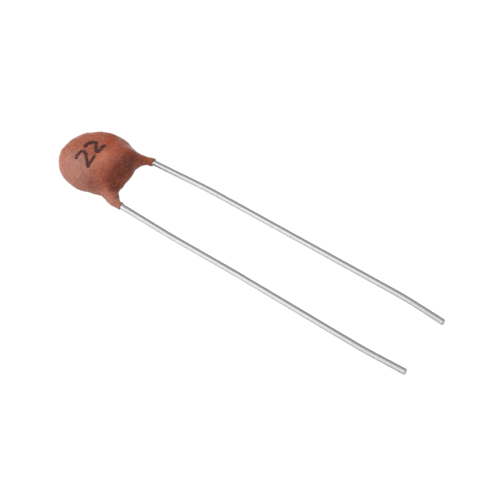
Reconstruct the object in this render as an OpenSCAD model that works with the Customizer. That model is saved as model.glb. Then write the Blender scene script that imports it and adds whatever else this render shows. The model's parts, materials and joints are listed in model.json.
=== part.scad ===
// Ceramic disc capacitor, 22 pF, with straight leads on a 5 mm pitch.
//
// The capacitor is drawn round the centre of its ceramic disc: X runs across the leads, -Y along them and
// Z through the disc's thickness, with the marked face up. It is then laid down as it comes to rest on a
// level surface, on its coat and the ends of both leads, with the origin under the middle of its box.
//
// Inside the coat each lead bends in from its leg, rises to its own face of the disc and is soldered there:
// the right lead on the marked (front) face, the left lead on the back.

/* [Ceramic disc] */
// Diameter of the ceramic disc
disc_d = 4.4; // [3.6:0.1:5]
// Thickness of the ceramic disc
disc_t = 0.4; // [0.3:0.05:0.8]
// Broken edge of the ceramic disc
edge_break = 0.05; // [0.02:0.01:0.1]
// Bare ceramic left round the edge of each electrode
electrode_margin = 0.25; // [0.15:0.05:0.5]
// Thickness of a fired silver electrode
electrode_t = 0.02; // [0.01:0.005:0.04]

/* [Leads] */
// Diameter of the tinned wire
wire_d = 0.45; // [0.4:0.05:0.5]
// Distance between the wires where they bend into the disc
pitch = 5; // [4.8:0.01:5.4]
// How far each wire stands further out in its leg of the coat
leg_out = 0.16; // [0:0.01:0.25]
// Length over which it comes out by that much
leg_set = 0.5; // [0.4:0.05:0.7]
// Distance from the disc's centre down to the end of the right lead
lead_reach = 30.25; // [24:0.05:40]
// How much further down the left lead was cut
left_longer = 0.3; // [0:0.05:2]
// Length of the end run of each lead
tip_run = 3.6; // [2:0.1:5]
// How far out the right lead is at its one gentle set
right_out = 0.41; // [0.1:0.01:0.8]
// How far below the disc's centre that set is
right_out_at = 8.5; // [7:0.5:12]
// How far out the right lead is where its end run starts
right_far_out = 0.26; // [0:0.01:0.8]
// How far out the left lead is at its first gentle set
left_out = 0.44; // [0.1:0.01:0.8]
// How far below the disc's centre that set is
left_out_at = 9; // [7:0.5:12]
// How far out the left lead is at its second gentle set
left_mid_out = 0.54; // [0.1:0.01:1]
// How far below the disc's centre that set is
left_mid_at = 15; // [14:0.5:18]
// How far out the left lead is where its end run starts
left_far_out = 0.98; // [0:0.01:1.2]
// How far the end run of the right lead turns back in
right_tip_in = 0.31; // [0:0.01:0.6]
// How far the end run of the left lead turns back in
left_tip_in = 0.08; // [0:0.01:0.6]
// Radius of the gentle bends outside the coat
lead_bend = 30; // [20:1:40]
// Radius of the formed bends inside the coat
form_bend = 0.6; // [0.5:0.05:0.9]
// Rounding at the cut end of a wire
cut_round = 0.07; // [0.03:0.01:0.12]
// How much fuller the wire is in a bend than in a straight
bend_fullness = 0.004; // [0.003:0.001:0.008]
// How far a bend laps the straights on each side of it
bend_lap = 0.03; // [0.02:0.005:0.04]

/* [Lead forming inside the coat] */
// Gap between the disc's edge and the point where a lead reaches the face
edge_clearance = 0.35; // [0.3:0.05:0.5]
// Distance along the lead over which it rises from the middle plane to the face
rise_run = 1.05; // [0.9:0.05:1.3]
// How far past the centre line the end of the lead lies on its face
end_across = 0.5; // [0.2:0.05:0.8]
// How far above the centre the end of the lead lies
end_above = 0.3; // [0:0.05:0.6]

/* [Solder] */
// Film of solder between the wire and the electrode
solder_film = 0.02; // [0.01:0.005:0.04]
// Distance from the end of the lead to the middle of its solder joint
solder_from_end = 0.7; // [0.5:0.05:0.9]
// Radius of the solder joint on the electrode
solder_r = 0.85; // [0.6:0.05:1.1]
// Height of the solder joint above the electrode
solder_h = 0.6; // [0.55:0.02:0.66]
// Length of the tapered fillet that wicks along the wire
fillet_len = 1.4; // [1:0.1:1.6]
// Thickness of that fillet on the wire at its middle
fillet_t = 0.1; // [0.05:0.01:0.14]

/* [Coat] */
// Resin beyond the edge of the ceramic disc
coat_edge = 0.93; // [0.8:0.01:1.1]
// Resin over the wire on each face
coat_face = 0.48; // [0.4:0.02:0.6]
// Resin below the ceramic disc, down to the crotch between the legs
crotch_web = 0.71; // [0.6:0.01:1.1]
// Squareness of the lower corners, where 2 is round
lower_square = 1.9; // [1.9:0.05:2.6]
// Flatness of the two faces, where 2 is an ellipse in section
crown = 3; // [2.6:0.1:3.6]
// Swelling of each face over its buried wire, as a part of the height there
swell = 0.04; // [0:0.01:0.1]
// Half-width of that swelling
swell_w = 0.75; // [0.5:0.05:1]
// Length of the right leg of the coat below the bend of its wire
right_sleeve = 0.55; // [0.5:0.01:1.5]
// Length of the left leg of the coat below the bend of its wire
left_sleeve = 1.36; // [0.9:0.01:2]
// Resin round the wire at the end of a leg
leg_wall = 0.1; // [0.07:0.01:0.16]
// Resin round the wire where it bends into the disc
knee_wall = 0.1; // [0.08:0.01:0.25]
// Resin round the wire at the shoulder, where the wire reaches the disc's face
shoulder_wall = 0.46; // [0.4:0.01:0.7]
// Radius of the rounded rim at the end of a leg
leg_rim = 0.05; // [0.02:0.01:0.06]
// Radius of the web of resin across the left corner of the crotch
web_r = 0.08; // [0:0.02:0.2]
// How far the web's foot is in from the bend of the left wire
web_in = 0.58; // [0.5:0.02:0.8]
// How far the web's foot is down from that bend
web_down = 0.26; // [0:0.02:0.4]
// How far the web's head is in from that bend
web_head_in = 1.52; // [1.2:0.02:1.8]
// How far the web's head is up from that bend
web_head_up = 0.2; // [0:0.02:0.4]
// How softly the legs and the disc flow together
blend = 0.94; // [0.9:0.02:1.3]

/* [Hidden] */
$fn = 64;

// Colours of the pieces
RESIN = [0.68, 0.36, 0.28];
TIN = [0.80, 0.80, 0.80];
SOLDER = [0.62, 0.63, 0.65];
SILVER = [0.88, 0.88, 0.86];
CERAMIC = [0.90, 0.87, 0.78];

// The stack from the middle plane out to each face
wire_r = wire_d / 2;
disc_r = disc_d / 2;
electrode_r = disc_r - electrode_margin;
electrode_top = disc_t / 2 + electrode_t;
wire_z = electrode_top + solder_film + wire_r;

// The coat's own sizes, from what it covers
coat_r = disc_r + coat_edge;
coat_h = wire_z + wire_r + coat_face;
crotch_depth = disc_r + crotch_web;
leg_r = wire_r + leg_wall;
knee_r = wire_r + knee_wall;
shoulder_r = wire_r + shoulder_wall;

// Places along a lead inside the coat, in plan, on the right
face_heading = -45;
face_start = (disc_r + edge_clearance) * [cos(face_heading), sin(face_heading)];
knee = [pitch / 2, face_start[1] - rise_run];
wire_end = [-end_across, end_above];

// The web across the left corner of the crotch, as if on the right
web_foot = knee - [web_in, web_down];
web_head = knee + [-web_head_in, web_head_up];

// Depths below the disc's centre: where a wire has come out to its leg, and the end of each leg
leg_foot = leg_set - knee[1];
right_leg = right_sleeve - knee[1];
left_leg = left_sleeve - knee[1];

// Depths of the two cut ends
right_reach = lead_reach;
left_reach = lead_reach + left_longer;

// How far in from its wire the middle of each round crotch corner is
right_corner = 0.8;
left_corner = 1.2;

// What differs from side to side: the end of the leg, how far out and down the lead's first set is, and
// where the corner is
right_side = [right_leg, right_out, right_out_at, right_corner];
left_side = [left_leg, left_out, left_out_at, left_corner];

// Mesh of the coat's skin: rays over the disc, down a shoulder and down a leg, and rings along each ray
fan_n = 20;
shoulder_n = 11;
leg_n = 10;
ring_n = 12;

// ---- Plain functions ----

function mix(a, b, t) = a + (b - a) * t;
function unit(v) = v / norm(v);
function clamp01(t) = min(1, max(0, t));
function last(list) = list[len(list) - 1];
function mirrored(p) = [-p[0], p[1]];

// Share of the way along the line a-b that lies nearest to the point p
function along(p, a, b) = clamp01((p - a) * (b - a) / ((b - a) * (b - a)));

// The larger of two levels, rounded off where they are nearly equal
function soft_max(a, b) = max(a, b) + pow(max(blend - abs(a - b), 0), 2) / (4 * blend);

// ---- Form of the coat ----
// A level is the square of the skin's height above the middle plane. It falls through zero at the outline,
// so that the skin meets the middle plane square on and turns over it in one round.

// Level of the coated disc: a flattened dome whose lower corners are squarer than its round top
function disc_level(p) =
    let (square = p[1] < 0 ? lower_square : 2)
    let (depth = p[1] < 0 ? crotch_depth : coat_r)
    let (rim = pow(pow(abs(p[0]) / coat_r, square) + pow(abs(p[1]) / depth, square), 1 / square))
    pow(coat_h, 2) * (1 - pow(rim, crown));

// How far out the middle of a leg is, following its wire
function leg_x(y, side) =
    -y < leg_foot ? knee[0] + leg_out * clamp01((knee[1] - y) / leg_set)
                  : knee[0] + mix(leg_out, side[1], (-y - leg_foot) / (side[2] - leg_foot));

// Radius of a leg at a height above its end, with the rounded rim
function leg_radius(height, length) =
    mix(leg_r, knee_r, clamp01(height / length))
    - leg_rim * (1 - sqrt(1 - pow(clamp01(1 - height / leg_rim), 2)));

// Level of a round bar with its middle at some distance in plan
function bar_level(radius, off) = pow(radius, 2) - pow(off, 2);

// Level of a leg: a sleeve up to the knee, then a shoulder that widens inwards over the wire
function leg_level(p, side) =
    let (sleeve_r = leg_radius(p[1] + side[0], knee[1] + side[0]))
    let (t = along(p, knee, face_start))
    max(bar_level(sleeve_r, norm([p[0] - leg_x(p[1], side), max(p[1] - knee[1], 0)])),
        bar_level(mix(knee_r, shoulder_r, t), norm(p - mix(knee, face_start, t))));

// Level of the whole coat
function skin_level(p) =
    p[0] > 0 ? soft_max(disc_level(p), leg_level(p, right_side))
    : let (q = mirrored(p))
      let (t = along(q, web_foot, web_head))
      soft_max(soft_max(disc_level(p), leg_level(q, left_side)),
               bar_level(web_r, norm(q - mix(web_foot, web_head, t))));

// Part that a face swells by over its own buried wire, on the side where that wire is
function swelling(p, side) =
    let (a = [side * face_start[0], face_start[1]])
    let (b = [side * wire_end[0], wire_end[1]])
    let (off = norm(p - mix(a, b, along(p, a, b))))
    swell * exp(-pow(off / swell_w, 2));

// Height of a face above or below the middle plane: 1 is the front, -1 the back
function skin_z(p, face) = face * sqrt(max(skin_level(p), 0)) * (1 + swelling(p, face));

// ---- Spine and rays that carry the skin ----
// The spine of the coat runs from the disc centre out to the root of each leg and down the leg. From each
// of its stations one ray runs to the outer outline and one to the crotch side, and a fan of rays covers
// the rest of the disc. Rings of points along the rays, closer towards the outline, make the skin.

// Heading of the last ray of the fan, and of the outer ray at a leg's root
fan_end = -20;
root_out = -4;
// How far above the end of a leg the middle of its round crotch corner is
corner_up = 0.2;
// How far above the crotch a leg's root is, as a share of the crotch's depth
root_rise = 0.2;
// Where the last stations on a leg are, as shares of its rounded rim
rim_stations = [1, 0.3, 0];

leg_root = [knee[0], -crotch_depth * (1 - root_rise)];

// Heading of a crotch ray on a leg: at the middle of the round corner, or square to the leg below that
function crotch_heading(p, side) =
    let (to = [knee[0] - side[3], corner_up - side[0]] - p)
    to[1] < 0 ? 360 + atan2(to[1], to[0]) : 180;

// Stations of the right spine as [place, outer heading, crotch heading]
function spine(side) = concat(
    [for (i = [0 : shoulder_n - 1])
        let (t = i / shoulder_n)
        [mix([0, 0], leg_root, t), mix(fan_end, root_out, t), mix(270, crotch_heading(leg_root, side), t)]],
    [for (i = [0 : leg_n - 1])
        let (t = i / leg_n)
        let (y = mix(leg_root[1], leg_rim - side[0], t))
        let (place = [leg_x(y, side), y])
        [place, mix(root_out, 0, t), crotch_heading(place, side)]],
    [for (share = rim_stations)
        let (y = share * leg_rim - side[0])
        [[leg_x(y, side), y], 0, 180]]);

spine_n = shoulder_n + leg_n + len(rim_stations) - 1;
right_spine = spine(right_side);
left_spine = spine(left_side);

// Columns of the right half, from the top of the disc round to the crotch, as [station, heading]
function half_columns(stations) = concat(
    [for (i = [0 : fan_n - 1]) [0, mix(90, fan_end, i / fan_n)]],
    [for (i = [0 : spine_n]) [i, stations[i][1]]],
    [for (i = [spine_n : -1 : 0]) [i, stations[i][2]]]);

right_columns = half_columns(right_spine);
left_columns = half_columns(left_spine);
half_n = len(right_columns);

// All columns in order round the outline, as [spine vertex, start, direction]
columns = concat(
    [for (c = right_columns)
        [c[0], right_spine[c[0]][0], [cos(c[1]), sin(c[1])]]],
    [for (i = [half_n - 2 : -1 : 1])
        let (c = left_columns[i])
        [c[0] == 0 ? 0 : spine_n + c[0], mirrored(left_spine[c[0]][0]), [-cos(c[1]), sin(c[1])]]]);
column_n = len(columns);

// Distance from a start to the outline: coarse steps out, then halving
coarse_step = 0.1;
halvings = 22;

function reach_between(start, way, low, high, turns) =
    turns == 0 ? (low + high) / 2
    : let (middle = (low + high) / 2)
      skin_level(start + way * middle) > 0 ? reach_between(start, way, middle, high, turns - 1)
                                           : reach_between(start, way, low, middle, turns - 1);

function reach(start, way, out = coarse_step) =
    skin_level(start + way * out) > 0 ? reach(start, way, out + coarse_step)
                                      : reach_between(start, way, out - coarse_step, out, halvings);

// Plan points of a column from its start, ring 0, to the outline, ring ring_n
column_points = [for (c = columns)
    let (length = reach(c[1], c[2]))
    [for (j = [0 : ring_n]) c[1] + c[2] * length * sin(90 * j / ring_n)]];

function raised(p, face) = [p[0], p[1], skin_z(p, face)];

spine_plan = concat([for (s = right_spine) s[0]],
                    [for (i = [1 : spine_n]) mirrored(left_spine[i][0])]);
spine_count = len(spine_plan);

skin_points = concat(
    [for (p = spine_plan) raised(p, 1)],
    [for (p = spine_plan) raised(p, -1)],
    [for (column = column_points) [last(column)[0], last(column)[1], 0]],
    [for (face = [1, -1], column = column_points, j = [1 : ring_n - 1]) raised(column[j], face)]);

// Number of the skin point in a column, on a ring, on a face
function at(column, ring, face) =
    let (side = face > 0 ? 0 : 1)
    ring == 0 ? side * spine_count + columns[column][0]
    : ring == ring_n ? 2 * spine_count + column
    : 2 * spine_count + column_n + (side * column_n + column) * (ring_n - 1) + ring - 1;

// A closed loop of points as it is, or turned over for the back face
function facing(loop, face) = face > 0 ? loop : [for (i = [len(loop) - 1 : -1 : 0]) loop[i]];

// The last outer column on each leg, which the leg's end face follows
right_end = fan_n + spine_n;
left_end = column_n - fan_n - spine_n - 1;

// Triangles of the strip between a column and the next
function strip(column, face) =
    let (next = (column + 1) % column_n)
    let (one_start = columns[column][0] == columns[next][0])
    [for (j = [0 : ring_n - 1])
        let (a = at(column, j + 1, face), b = at(next, j + 1, face),
             c = at(next, j, face), d = at(column, j, face))
        each [facing([a, b, c], face), if (!(one_start && j == 0)) facing([a, c, d], face)]];

// The flat end face of a leg, between its two end columns
function leg_end_face(column) = concat(
    [for (j = [ring_n : -1 : 0]) at(column + 1, j, 1)],
    [for (j = [1 : ring_n]) at(column, j, 1)],
    [for (j = [ring_n - 1 : -1 : 0]) at(column, j, -1)],
    [for (j = [1 : ring_n - 1]) at(column + 1, j, -1)]);

skin_faces = concat(
    [for (face = [1, -1], column = [0 : column_n - 1])
        if (column != right_end && column != left_end)
            each strip(column, face)],
    [leg_end_face(right_end), leg_end_face(left_end)]);

// ---- Laying the part down ----
// Leaned until the belly of the coat and the ends of the leads lie on one level surface

lowest_belly = coat_h * (1 + swell);
lean = asin((lowest_belly - wire_r) / max(right_reach, left_reach));

function leaned(p) = [p[0], p[1] * cos(lean) - p[2] * sin(lean), p[1] * sin(lean) + p[2] * cos(lean)];

leaned_skin = [for (p = skin_points) leaned(p)];
box_right = max(max([for (p = leaned_skin) p[0]]), pitch / 2 + max(right_out, right_far_out) + wire_r);
box_left = min(min([for (p = leaned_skin) p[0]]), -pitch / 2 - max(left_mid_out, left_far_out) - wire_r);
box_far = max([for (p = leaned_skin) p[1]]);
box_near = -max(right_reach, left_reach) * cos(lean);
lift = -min([for (p = leaned_skin) p[2]]);

module laid() {
    translate([-(box_right + box_left) / 2, -(box_far + box_near) / 2, lift])
        rotate([lean, 0, 0])
            children();
}

// ---- Leads ----

// Turns what is drawn round its own axes to the directions u, v and w at a place
module placed(u, v, w, place) {
    multmatrix([[u[0], v[0], w[0], place[0]],
                [u[1], v[1], w[1], place[1]],
                [u[2], v[2], w[2], place[2]],
                [0, 0, 0, 1]])
        children();
}

// What is drawn along +Z, turned to run from a to b
module pointing(a, b) {
    w = unit(b - a);
    u = unit(cross(w, abs(w[2]) > 0.9 ? [0, 1, 0] : [0, 0, 1]));
    placed(u, cross(w, u), w, a) children();
}

// Half the angle that a path turns through at its point i
function half_turn(path, i) =
    acos(unit(path[i] - path[i - 1]) * unit(path[i + 1] - path[i])) / 2;

// Length that a bend takes from the straight on each side of point i, none at the two ends
function bend_take(path, radii, i) =
    i == 0 || i == len(path) - 1 ? 0 : radii[i] * tan(half_turn(path, i));

// Straight length of wire drawn up from Z = 0, with its far rim rounded by cut (0 leaves it square)
module rod(length, cut) {
    steps = 4; // points in the rounding
    rotate_extrude()
        polygon(concat(
            [[0, 0], [wire_r, 0]],
            cut == 0 ? [[wire_r, length]]
                     : [for (i = [0 : steps])
                           [wire_r - cut * (1 - cos(90 * i / steps)), length - cut * (1 - sin(90 * i / steps))]],
            [[0, length]]));
}

// Round wire through the points of a path, with a bend of its own radius at each point between the ends.
// The far end of the path is a cut end.
module bent_wire(path, radii) {
    n = len(path);
    for (i = [0 : n - 2]) {
        way = unit(path[i + 1] - path[i]);
        from = path[i] + way * bend_take(path, radii, i);
        to = path[i + 1] - way * bend_take(path, radii, i + 1);
        pointing(from, to) rod(norm(to - from), i == n - 2 ? cut_round : 0);
    }
    for (i = [1 : n - 2]) {
        way_in = unit(path[i] - path[i - 1]);
        way_out = unit(path[i + 1] - path[i]);
        half = half_turn(path, i);
        centre = path[i] + unit(way_out - way_in) * radii[i] / cos(half);
        u = unit(path[i] - way_in * bend_take(path, radii, i) - centre);
        lap = bend_lap / radii[i] * 180 / PI;
        placed(u, way_in, cross(u, way_in), centre)
            rotate([0, 0, -lap])
                rotate_extrude(angle = 2 * (half + lap))
                    translate([radii[i], 0])
                        circle(r = wire_r + bend_fullness);
    }
}

// Formed end of a lead, from its soldered end down to its leg: side 1 is right, -1 left
function formed_path(side) = [
    [side * wire_end[0], wire_end[1], side * wire_z],
    [side * face_start[0], face_start[1], side * wire_z],
    [side * knee[0], knee[1], 0],
    [side * (knee[0] + leg_out), -leg_foot, 0]];

right_path = concat(formed_path(1), [
    [pitch / 2 + right_out, -right_out_at, 0],
    [pitch / 2 + right_far_out, tip_run - right_reach, 0],
    [pitch / 2 + right_far_out - right_tip_in, -right_reach, 0]]);

left_path = concat(formed_path(-1), [
    [-pitch / 2 - left_out, -left_out_at, 0],
    [-pitch / 2 - left_mid_out, -left_mid_at, 0],
    [-pitch / 2 - left_far_out, tip_run - left_reach, 0],
    [-pitch / 2 - left_far_out + left_tip_in, -left_reach, 0]]);

module wire(path) {
    bent_wire(path, [for (i = [0 : len(path) - 1]) i < len(formed_path(1)) ? form_bend : lead_bend]);
}

module right_wire() { wire(right_path); }
module left_wire() { wire(left_path); }

// ---- Ceramic, electrodes and solder ----

// Share of the fillet's arc that is kept, so that it ends before its two arcs would meet the wire's surface
fillet_kept = 0.9;

// Ceramic disc with broken edges
module dielectric() {
    half = disc_t / 2;
    rotate_extrude()
        polygon([[0, -half], [disc_r - edge_break, -half], [disc_r, edge_break - half],
                 [disc_r, half - edge_break], [disc_r - edge_break, half], [0, half]]);
}

module electrode() {
    translate([0, 0, disc_t / 2]) cylinder(r = electrode_r, h = electrode_t);
}

// Outer form of the solder joint on the front face, from a level up: a dome over the lead's end and a
// fillet that thins out along the lead
module solder_form(level) {
    tip = right_path[0];
    back = unit(right_path[1] - right_path[0]);
    middle = tip + back * solder_from_end;
    ball_r = (pow(solder_r, 2) + pow(solder_h, 2)) / (2 * solder_h);
    arc_r = (pow(fillet_len, 2) + pow(fillet_t, 2)) / (2 * fillet_t);
    intersection() {
        union() {
            translate([middle[0], middle[1], electrode_top + solder_h - ball_r]) sphere(r = ball_r);
            pointing(middle, middle + back)
                rotate_extrude()
                    intersection() {
                        translate([wire_r + fillet_t - arc_r, 0]) circle(r = arc_r, $fn = 4 * $fn);
                        square([2 * wire_r, fillet_len * fillet_kept]);
                    }
        }
        translate([0, 0, level]) cylinder(r = electrode_r, h = coat_h);
    }
}

// Solder joint on the front face: it stands on the electrode and holds the lead
module solder_joint() {
    difference() {
        solder_form(electrode_top);
        right_wire();
    }
}

// A piece of the front face turned over to the back
module on_back() {
    rotate([0, 180, 0]) children();
}

// ---- The pieces, laid down ----

// Everything that the coat is cast round, as one body
module core() {
    dielectric();
    translate([0, 0, -electrode_top]) cylinder(r = electrode_r, h = 2 * electrode_top);
    solder_form(0);
    on_back() solder_form(0);
    right_wire();
    left_wire();
}

module coating() {
    color(RESIN)
        laid()
            difference() {
                polyhedron(points = skin_points, faces = skin_faces, convexity = 6);
                core();
            }
}

module right_lead() {
    color(TIN) laid() right_wire();
}

module left_lead() {
    color(TIN) laid() left_wire();
}

module front_solder() {
    color(SOLDER) laid() solder_joint();
}

module back_solder() {
    color(SOLDER) laid() on_back() solder_joint();
}

module front_electrode() {
    color(SILVER) laid() electrode();
}

module back_electrode() {
    color(SILVER) laid() on_back() electrode();
}

module ceramic_disc() {
    color(CERAMIC) laid() dielectric();
}

coating();
right_lead();
left_lead();
front_solder();
back_solder();
front_electrode();
back_electrode();
ceramic_disc();
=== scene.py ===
"""Looks of a small ceramic disc capacitor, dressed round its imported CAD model.

The pieces are modelled on a bench in millimetres round the middle of the ceramic disc, with X
across the leads, -Y along them and Z through the disc, and are then laid down where the CAD model
lies.
"""

import json
import logging
import math
from dataclasses import dataclass, field
from enum import Enum
from functools import reduce

import bpy
from mathutils import Matrix, Vector
from mathutils.geometry import intersect_point_line

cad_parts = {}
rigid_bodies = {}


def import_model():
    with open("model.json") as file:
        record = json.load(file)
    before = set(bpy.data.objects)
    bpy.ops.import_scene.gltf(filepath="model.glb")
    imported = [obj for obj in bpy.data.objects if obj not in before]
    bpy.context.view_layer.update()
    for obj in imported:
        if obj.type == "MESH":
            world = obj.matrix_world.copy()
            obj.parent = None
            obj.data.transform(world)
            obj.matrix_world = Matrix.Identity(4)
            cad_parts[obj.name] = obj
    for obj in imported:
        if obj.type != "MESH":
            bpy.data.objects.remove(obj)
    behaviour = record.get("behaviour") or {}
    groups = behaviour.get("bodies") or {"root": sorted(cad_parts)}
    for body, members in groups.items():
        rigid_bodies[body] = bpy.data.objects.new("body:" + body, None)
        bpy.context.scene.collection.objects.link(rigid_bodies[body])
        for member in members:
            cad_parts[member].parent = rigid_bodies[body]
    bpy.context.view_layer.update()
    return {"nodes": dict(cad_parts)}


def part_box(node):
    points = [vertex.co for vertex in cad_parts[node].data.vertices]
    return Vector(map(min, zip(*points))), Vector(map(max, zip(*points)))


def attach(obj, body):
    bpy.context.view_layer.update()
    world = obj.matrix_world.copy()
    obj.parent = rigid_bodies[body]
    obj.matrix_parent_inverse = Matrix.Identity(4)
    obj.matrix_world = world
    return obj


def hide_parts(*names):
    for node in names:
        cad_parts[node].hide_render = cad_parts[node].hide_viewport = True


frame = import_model()

log = logging.getLogger("capacitor")

Point = tuple[float, float, float]
Colour = tuple[float, float, float]
Socket = bpy.types.NodeSocket

# A millimetre in the frame's metres
MM = 0.001
# How far the part leans, lying on the belly of its coat and the ends of its leads
LEAN = math.radians(1.8604)
BODY = "root"
WHITE = (1.0, 1.0, 1.0)
# What the coat closes round, apart from the leads
SEALED_NODES = ("ceramic_disc", "front_electrode", "back_electrode", "front_solder", "back_solder")


def disc_middle() -> Vector:
    """Middle of the ceramic disc in the frame, where the bench's origin is laid down."""
    low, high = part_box("ceramic_disc")
    return (low + high) / 2


def laid_down() -> Matrix:
    """Matrix that takes a piece from the bench, in millimetres, to the frame, in metres."""
    lean = Matrix.Rotation(LEAN, 4, "X")
    return Matrix.Translation(disc_middle()) @ lean @ Matrix.Scale(MM, 4)


def linear(red: int, green: int, blue: int) -> Colour:
    """A display colour, 0 to 255 a channel, as linear light."""
    return tuple(
        c / 12.92 if c <= 0.04045 else ((c + 0.055) / 1.055) ** 2.4
        for c in (red / 255, green / 255, blue / 255)
    )


def held(value: float) -> float:
    """A value held between 0 and 1."""
    return min(max(value, 0.0), 1.0)


# ---- Bench tools ----

# How near two corners of a CAD node's loose triangles are joined
JOIN_WITHIN = 0.0005


def select_only(piece: bpy.types.Object) -> None:
    """Makes a piece the only selected and the active object.

    Args:
        piece: The object to select.
    """
    bpy.ops.object.select_all(action="DESELECT")
    piece.select_set(True)
    bpy.context.view_layer.objects.active = piece


def open_mesh(piece: bpy.types.Object, kind: str = "VERT") -> None:
    """Opens a piece in edit mode with nothing selected.

    Args:
        piece: The mesh object to open.
        kind: What to select in edit mode: VERT, EDGE or FACE.
    """
    select_only(piece)
    bpy.ops.object.mode_set(mode="EDIT")
    bpy.ops.mesh.select_mode(type=kind)
    bpy.ops.mesh.select_all(action="DESELECT")


def close_mesh() -> None:
    """Leaves edit mode."""
    bpy.ops.object.mode_set(mode="OBJECT")


def clear_corners(piece: bpy.types.Object) -> None:
    """Leaves a piece in object mode with none of its corners selected."""
    open_mesh(piece)
    close_mesh()


def apply_modifier(piece: bpy.types.Object, kind: str, **settings: object) -> None:
    """Adds a modifier to a piece and applies it.

    Args:
        piece: The mesh object to change.
        kind: The modifier's type.
        **settings: Values for its properties.
    """
    select_only(piece)
    modifier = piece.modifiers.new(kind.lower(), kind)
    for name, value in settings.items():
        setattr(modifier, name, value)
    bpy.ops.object.modifier_apply(modifier=modifier.name)


def add_object(name: str, data: bpy.types.ID) -> bpy.types.Object:
    """Adds an object to the scene.

    Args:
        name: Its name.
        data: Its mesh, camera or light.

    Returns:
        The object.
    """
    added = bpy.data.objects.new(name, data)
    bpy.context.scene.collection.objects.link(added)
    return added


def bench_copy(node: str, name: str) -> bpy.types.Object:
    """A copy of a CAD node on the bench, with its loose triangles joined up.

    Args:
        node: Name of the CAD node.
        name: Name of the copy.

    Returns:
        The copy, an object of its own with its own mesh.
    """
    mesh = frame["nodes"][node].data.copy()
    mesh.materials.clear()
    copy = add_object(name, mesh)
    mesh.transform(laid_down().inverted())
    open_mesh(copy)
    bpy.ops.mesh.select_all(action="SELECT")
    bpy.ops.mesh.remove_doubles(threshold=JOIN_WITHIN)
    close_mesh()
    return copy


def set_down(piece: bpy.types.Object, slot: str, *nodes: str) -> None:
    """Args:
        piece: The piece, still on the bench.
        slot: Name of a material slot in the record; not used.
        *nodes: The CAD nodes that it stands for.
    """
    piece.matrix_world = laid_down()
    select_only(piece)
    bpy.ops.object.transform_apply(location=True, rotation=True, scale=True)
    bpy.ops.object.shade_smooth()
    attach(piece, BODY)
    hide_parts(*nodes)
    faces = len(piece.data.polygons)
    log.info("%s: %d faces, stands for %s", piece.name, faces, ", ".join(nodes))


@dataclass(frozen=True)
class Ripple:
    """A soft cloudy unevenness of a surface.

    Attributes:
        name: Name of its texture.
        grain: Size of its lumps, in millimetres.
        depth: Height from its lowest to its highest point.
    """

    name: str
    grain: float
    depth: float

    def press_into(self, piece: bpy.types.Object) -> None:
        """Displaces a surface by the ripple, as much out as in.

        Args:
            piece: The mesh object whose surface it is.
        """
        texture = bpy.data.textures.new(self.name, "CLOUDS")
        texture.noise_scale = self.grain
        texture.noise_depth = 1
        apply_modifier(piece, "DISPLACE", texture=texture, strength=self.depth, mid_level=0.5)


# ---- Finishes ----


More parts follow.
